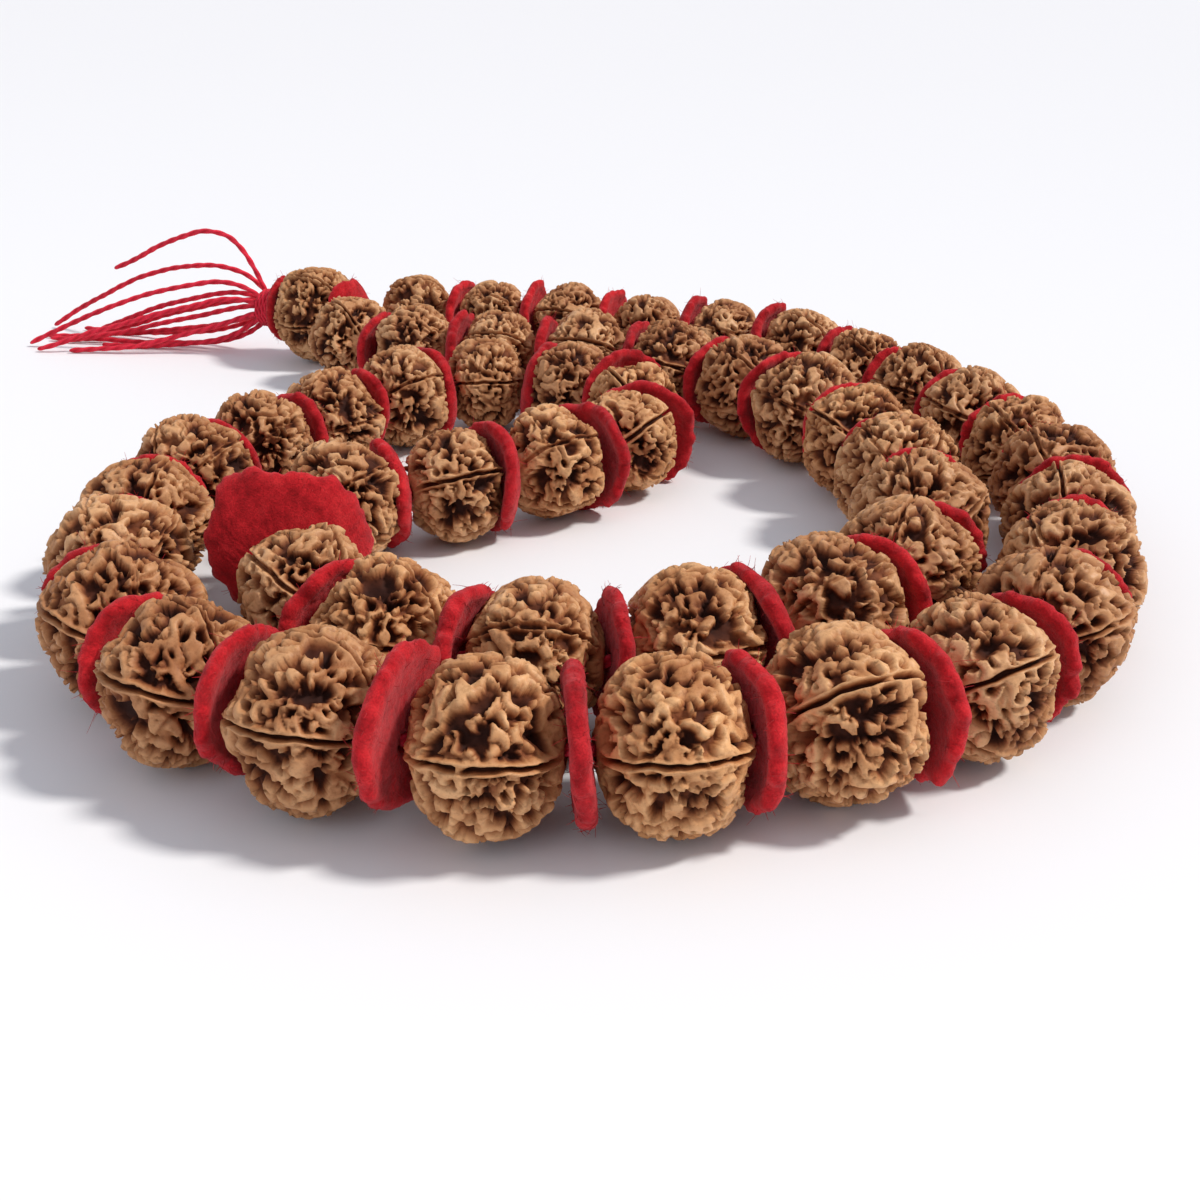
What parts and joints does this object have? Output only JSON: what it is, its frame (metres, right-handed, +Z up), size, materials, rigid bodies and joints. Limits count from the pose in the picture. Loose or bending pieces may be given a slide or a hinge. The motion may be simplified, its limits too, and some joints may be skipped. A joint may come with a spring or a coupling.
{
  "type": "mala prayer beads",
  "caption": "String of knobbly five-groove seed beads with red felt discs between them, on a closed red cord that ends in a guru bead and a cotton tassel; every bead turns on the cord.",
  "frame": {"origin": "on the surface the beads lie on, at the middle of the footprint of beads, discs and knot (tassel strands left out)", "axes": "+Z up; +X to the right and +Y away from a person who looks at the string with the guru bead and tassel at the far left"},
  "size_m": [0.2402, 0.2674, 0.0304],
  "materials": {
    "seed": "carved natural seed, oiled, dark in its pits and grooves",
    "guru_seed": "carved natural seed, oiled, a little darker",
    "felt": "pressed wool felt, crimson, fuzzy",
    "cord": "twisted cotton cord, crimson, matt"
  },
  "bodies": {
    "string": {"stringing_cord": "cord", "felt_discs": "felt", "large_felt_disc": "felt", "guru_felt_disc": "felt", "tassel_felt_disc": "felt", "tassel_knot": "cord", "tassel_strands": "cord", "stray_strands": "cord"},
    "bead_01": {"bead_01": "seed"},
    "bead_02": {"bead_02": "seed"},
    "bead_03": {"bead_03": "seed"},
    "bead_04": {"bead_04": "seed"},
    "bead_05": {"bead_05": "seed"},
    "bead_06": {"bead_06": "seed"},
    "bead_07": {"bead_07": "seed"},
    "bead_08": {"bead_08": "seed"},
    "bead_09": {"bead_09": "seed"},
    "bead_10": {"bead_10": "seed"},
    "bead_11": {"bead_11": "seed"},
    "bead_12": {"bead_12": "seed"},
    "bead_13": {"bead_13": "seed"},
    "bead_14": {"bead_14": "seed"},
    "bead_15": {"bead_15": "seed"},
    "bead_16": {"bead_16": "seed"},
    "bead_17": {"bead_17": "seed"},
    "bead_18": {"bead_18": "seed"},
    "bead_19": {"bead_19": "seed"},
    "bead_20": {"bead_20": "seed"},
    "bead_21": {"bead_21": "seed"},
    "bead_22": {"bead_22": "seed"},
    "bead_23": {"bead_23": "seed"},
    "bead_24": {"bead_24": "seed"},
    "bead_25": {"bead_25": "seed"},
    "bead_26": {"bead_26": "seed"},
    "bead_27": {"bead_27": "seed"},
    "bead_28": {"bead_28": "seed"},
    "bead_29": {"bead_29": "seed"},
    "bead_30": {"bead_30": "seed"},
    "bead_31": {"bead_31": "seed"},
    "bead_32": {"bead_32": "seed"},
    "bead_33": {"bead_33": "seed"},
    "bead_34": {"bead_34": "seed"},
    "bead_35": {"bead_35": "seed"},
    "bead_36": {"bead_36": "seed"},
    "bead_37": {"bead_37": "seed"},
    "bead_38": {"bead_38": "seed"},
    "bead_39": {"bead_39": "seed"},
    "bead_40": {"bead_40": "seed"},
    "bead_41": {"bead_41": "seed"},
    "bead_42": {"bead_42": "seed"},
    "bead_43": {"bead_43": "seed"},
    "bead_44": {"bead_44": "seed"},
    "bead_45": {"bead_45": "seed"},
    "bead_46": {"bead_46": "seed"},
    "bead_47": {"bead_47": "seed"},
    "bead_48": {"bead_48": "seed"},
    "bead_49": {"bead_49": "seed"},
    "bead_50": {"bead_50": "seed"},
    "bead_51": {"bead_51": "seed"},
    "guru_bead": {"guru_bead": "guru_seed"}
  },
  "joints": [
    {"name": "bead_01_spin", "type": "hinge", "parent": "string", "child": "bead_01", "pos_m": [-0.05911, 0.08775, 0.01058], "axis": [0.57, -0.8217, 0], "continuous": true},
    {"name": "bead_02_spin", "type": "hinge", "parent": "string", "child": "bead_02", "pos_m": [-0.04264, 0.07609, 0.01087], "axis": [0.9144, -0.4049, 0], "continuous": true},
    {"name": "bead_03_spin", "type": "hinge", "parent": "string", "child": "bead_03", "pos_m": [-0.02291, 0.07173, 0.0106], "axis": [0.9801, -0.1986, 0], "continuous": true},
    {"name": "bead_04_spin", "type": "hinge", "parent": "string", "child": "bead_04", "pos_m": [-0.00279, 0.06801, 0.01119], "axis": [0.947, -0.3213, 0], "continuous": true},
    {"name": "bead_05_spin", "type": "hinge", "parent": "string", "child": "bead_05", "pos_m": [0.01586, 0.05857, 0.01112], "axis": [0.8123, -0.5832, 0], "continuous": true},
    {"name": "bead_06_spin", "type": "hinge", "parent": "string", "child": "bead_06", "pos_m": [0.03074, 0.04394, 0.01116], "axis": [0.6074, -0.7944, 0], "continuous": true},
    {"name": "bead_07_spin", "type": "hinge", "parent": "string", "child": "bead_07", "pos_m": [0.04123, 0.02538, 0.01167], "axis": [0.4206, -0.9072, 0], "continuous": true},
    {"name": "bead_08_spin", "type": "hinge", "parent": "string", "child": "bead_08", "pos_m": [0.04867, 0.00528, 0.01131], "axis": [0.2571, -0.9664, 0], "continuous": true},
    {"name": "bead_09_spin", "type": "hinge", "parent": "string", "child": "bead_09", "pos_m": [0.0522, -0.01585, 0.01165], "axis": [0.0688, -0.9976, 0], "continuous": true},
    {"name": "bead_10_spin", "type": "hinge", "parent": "string", "child": "bead_10", "pos_m": [0.05162, -0.0376, 0.01171], "axis": [-0.1596, -0.9872, 0], "continuous": true},
    {"name": "bead_11_spin", "type": "hinge", "parent": "string", "child": "bead_11", "pos_m": [0.04536, -0.05817, 0.01134], "axis": [-0.4738, -0.8806, 0], "continuous": true},
    {"name": "bead_12_spin", "type": "hinge", "parent": "string", "child": "bead_12", "pos_m": [0.03163, -0.07477, 0.01175], "axis": [-0.7826, -0.6226, 0], "continuous": true},
    {"name": "bead_13_spin", "type": "hinge", "parent": "string", "child": "bead_13", "pos_m": [0.01239, -0.08441, 0.01132], "axis": [-0.9491, -0.3149, 0], "continuous": true},
    {"name": "bead_14_spin", "type": "hinge", "parent": "string", "child": "bead_14", "pos_m": [-0.00838, -0.08804, 0.01122], "axis": [-0.9973, 0.0737, 0], "continuous": true},
    {"name": "bead_15_spin", "type": "hinge", "parent": "string", "child": "bead_15", "pos_m": [-0.02844, -0.08139, 0.01138], "axis": [-0.8354, 0.5497, 0], "continuous": true},
    {"name": "bead_16_spin", "type": "hinge", "parent": "string", "child": "bead_16", "pos_m": [-0.04215, -0.06582, 0.01076], "axis": [-0.472, 0.8816, 0], "continuous": true},
    {"name": "bead_17_spin", "type": "hinge", "parent": "string", "child": "bead_17", "pos_m": [-0.04735, -0.04607, 0.01098], "axis": [-0.026, 0.9997, 0], "continuous": true},
    {"name": "bead_18_spin", "type": "hinge", "parent": "string", "child": "bead_18", "pos_m": [-0.04319, -0.02608, 0.01075], "axis": [0.5921, 0.8059, 0], "continuous": true},
    {"name": "bead_19_spin", "type": "hinge", "parent": "string", "child": "bead_19", "pos_m": [-0.02568, -0.01658, 0.01037], "axis": [0.8642, 0.5032, 0], "continuous": true},
    {"name": "bead_20_spin", "type": "hinge", "parent": "string", "child": "bead_20", "pos_m": [-0.00879, -0.00605, 0.01073], "axis": [0.7774, 0.629, 0], "continuous": true},
    {"name": "bead_21_spin", "type": "hinge", "parent": "string", "child": "bead_21", "pos_m": [0.00496, 0.00821, 0.01026], "axis": [0.4228, 0.9062, 0], "continuous": true},
    {"name": "bead_22_spin", "type": "hinge", "parent": "string", "child": "bead_22", "pos_m": [0.00693, 0.02764, 0.01039], "axis": [-0.3019, 0.9533, 0], "continuous": true},
    {"name": "bead_23_spin", "type": "hinge", "parent": "string", "child": "bead_23", "pos_m": [-0.00596, 0.04269, 0.0106], "axis": [-0.8357, 0.5492, 0], "continuous": true},
    {"name": "bead_24_spin", "type": "hinge", "parent": "string", "child": "bead_24", "pos_m": [-0.02477, 0.04847, 0.01023], "axis": [-0.9882, -0.153, 0], "continuous": true},
    {"name": "bead_25_spin", "type": "hinge", "parent": "string", "child": "bead_25", "pos_m": [-0.04109, 0.03725, 0.01076], "axis": [-0.7114, -0.7028, 0], "continuous": true},
    {"name": "bead_26_spin", "type": "hinge", "parent": "string", "child": "bead_26", "pos_m": [-0.05278, 0.0208, 0.01068], "axis": [-0.5511, -0.8345, 0], "continuous": true},
    {"name": "bead_27_spin", "type": "hinge", "parent": "string", "child": "bead_27", "pos_m": [-0.06329, 0.00363, 0.01069], "axis": [-0.4511, -0.8925, 0], "continuous": true},
    {"name": "bead_28_spin", "type": "hinge", "parent": "string", "child": "bead_28", "pos_m": [-0.07109, -0.01542, 0.01125], "axis": [-0.247, -0.969, 0], "continuous": true},
    {"name": "bead_29_spin", "type": "hinge", "parent": "string", "child": "bead_29", "pos_m": [-0.07341, -0.03609, 0.01095], "axis": [-0.0129, -0.9999, 0], "continuous": true},
    {"name": "bead_30_spin", "type": "hinge", "parent": "string", "child": "bead_30", "pos_m": [-0.07163, -0.0569, 0.01136], "axis": [0.1984, -0.9801, 0], "continuous": true},
    {"name": "bead_31_spin", "type": "hinge", "parent": "string", "child": "bead_31", "pos_m": [-0.06508, -0.07726, 0.01155], "axis": [0.4546, -0.8907, 0], "continuous": true},
    {"name": "bead_32_spin", "type": "hinge", "parent": "string", "child": "bead_32", "pos_m": [-0.05246, -0.09445, 0.01128], "axis": [0.7402, -0.6724, 0], "continuous": true},
    {"name": "bead_33_spin", "type": "hinge", "parent": "string", "child": "bead_33", "pos_m": [-0.03399, -0.1055, 0.0118], "axis": [0.92, -0.3919, 0], "continuous": true},
    {"name": "bead_34_spin", "type": "hinge", "parent": "string", "child": "bead_34", "pos_m": [-0.01304, -0.11124, 0.01151], "axis": [0.9926, -0.1216, 0], "continuous": true},
    {"name": "bead_35_spin", "type": "hinge", "parent": "string", "child": "bead_35", "pos_m": [0.0084, -0.1107, 0.01149], "axis": [0.9865, 0.1639, 0], "continuous": true},
    {"name": "bead_36_spin", "type": "hinge", "parent": "string", "child": "bead_36", "pos_m": [0.02907, -0.10425, 0.01175], "axis": [0.9149, 0.4037, 0], "continuous": true},
    {"name": "bead_37_spin", "type": "hinge", "parent": "string", "child": "bead_37", "pos_m": [0.04754, -0.09343, 0.01119], "axis": [0.7714, 0.6363, 0], "continuous": true},
    {"name": "bead_38_spin", "type": "hinge", "parent": "string", "child": "bead_38", "pos_m": [0.06147, -0.07752, 0.01142], "axis": [0.5363, 0.844, 0], "continuous": true},
    {"name": "bead_39_spin", "type": "hinge", "parent": "string", "child": "bead_39", "pos_m": [0.06996, -0.05814, 0.01122], "axis": [0.3372, 0.9414, 0], "continuous": true},
    {"name": "bead_40_spin", "type": "hinge", "parent": "string", "child": "bead_40", "pos_m": [0.07553, -0.03826, 0.01079], "axis": [0.2134, 0.977, 0], "continuous": true},
    {"name": "bead_41_spin", "type": "hinge", "parent": "string", "child": "bead_41", "pos_m": [0.07874, -0.01797, 0.01109], "axis": [0.0621, 0.9981, 0], "continuous": true},
    {"name": "bead_42_spin", "type": "hinge", "parent": "string", "child": "bead_42", "pos_m": [0.07805, 0.00236, 0.01055], "axis": [-0.1317, 0.9913, 0], "continuous": true},
    {"name": "bead_43_spin", "type": "hinge", "parent": "string", "child": "bead_43", "pos_m": [0.07347, 0.02173, 0.01055], "axis": [-0.2832, 0.9591, 0], "continuous": true},
    {"name": "bead_44_spin", "type": "hinge", "parent": "string", "child": "bead_44", "pos_m": [0.06677, 0.04057, 0.01067], "axis": [-0.3858, 0.9226, 0], "continuous": true},
    {"name": "bead_45_spin", "type": "hinge", "parent": "string", "child": "bead_45", "pos_m": [0.05818, 0.05829, 0.01017], "axis": [-0.5267, 0.85, 0], "continuous": true},
    {"name": "bead_46_spin", "type": "hinge", "parent": "string", "child": "bead_46", "pos_m": [0.04618, 0.0738, 0.01058], "axis": [-0.7445, 0.6676, 0], "continuous": true},
    {"name": "bead_47_spin", "type": "hinge", "parent": "string", "child": "bead_47", "pos_m": [0.02931, 0.08418, 0.01041], "axis": [-0.8923, 0.4515, 0], "continuous": true},
    {"name": "bead_48_spin", "type": "hinge", "parent": "string", "child": "bead_48", "pos_m": [0.01114, 0.09153, 0.01032], "axis": [-0.9296, 0.3686, 0], "continuous": true},
    {"name": "bead_49_spin", "type": "hinge", "parent": "string", "child": "bead_49", "pos_m": [-0.00744, 0.09875, 0.01082], "axis": [-0.9402, 0.3407, 0], "continuous": true},
    {"name": "bead_50_spin", "type": "hinge", "parent": "string", "child": "bead_50", "pos_m": [-0.02648, 0.10516, 0.0105], "axis": [-0.9593, 0.2824, 0], "continuous": true},
    {"name": "bead_51_spin", "type": "hinge", "parent": "string", "child": "bead_51", "pos_m": [-0.046, 0.1101, 0.01089], "axis": [-0.9995, -0.0328, 0], "continuous": true},
    {"name": "guru_bead_spin", "type": "hinge", "parent": "string", "child": "guru_bead", "pos_m": [-0.07084, 0.10831, 0.012], "axis": [-0.8988, 0.4384, 0], "continuous": true}
  ]
}
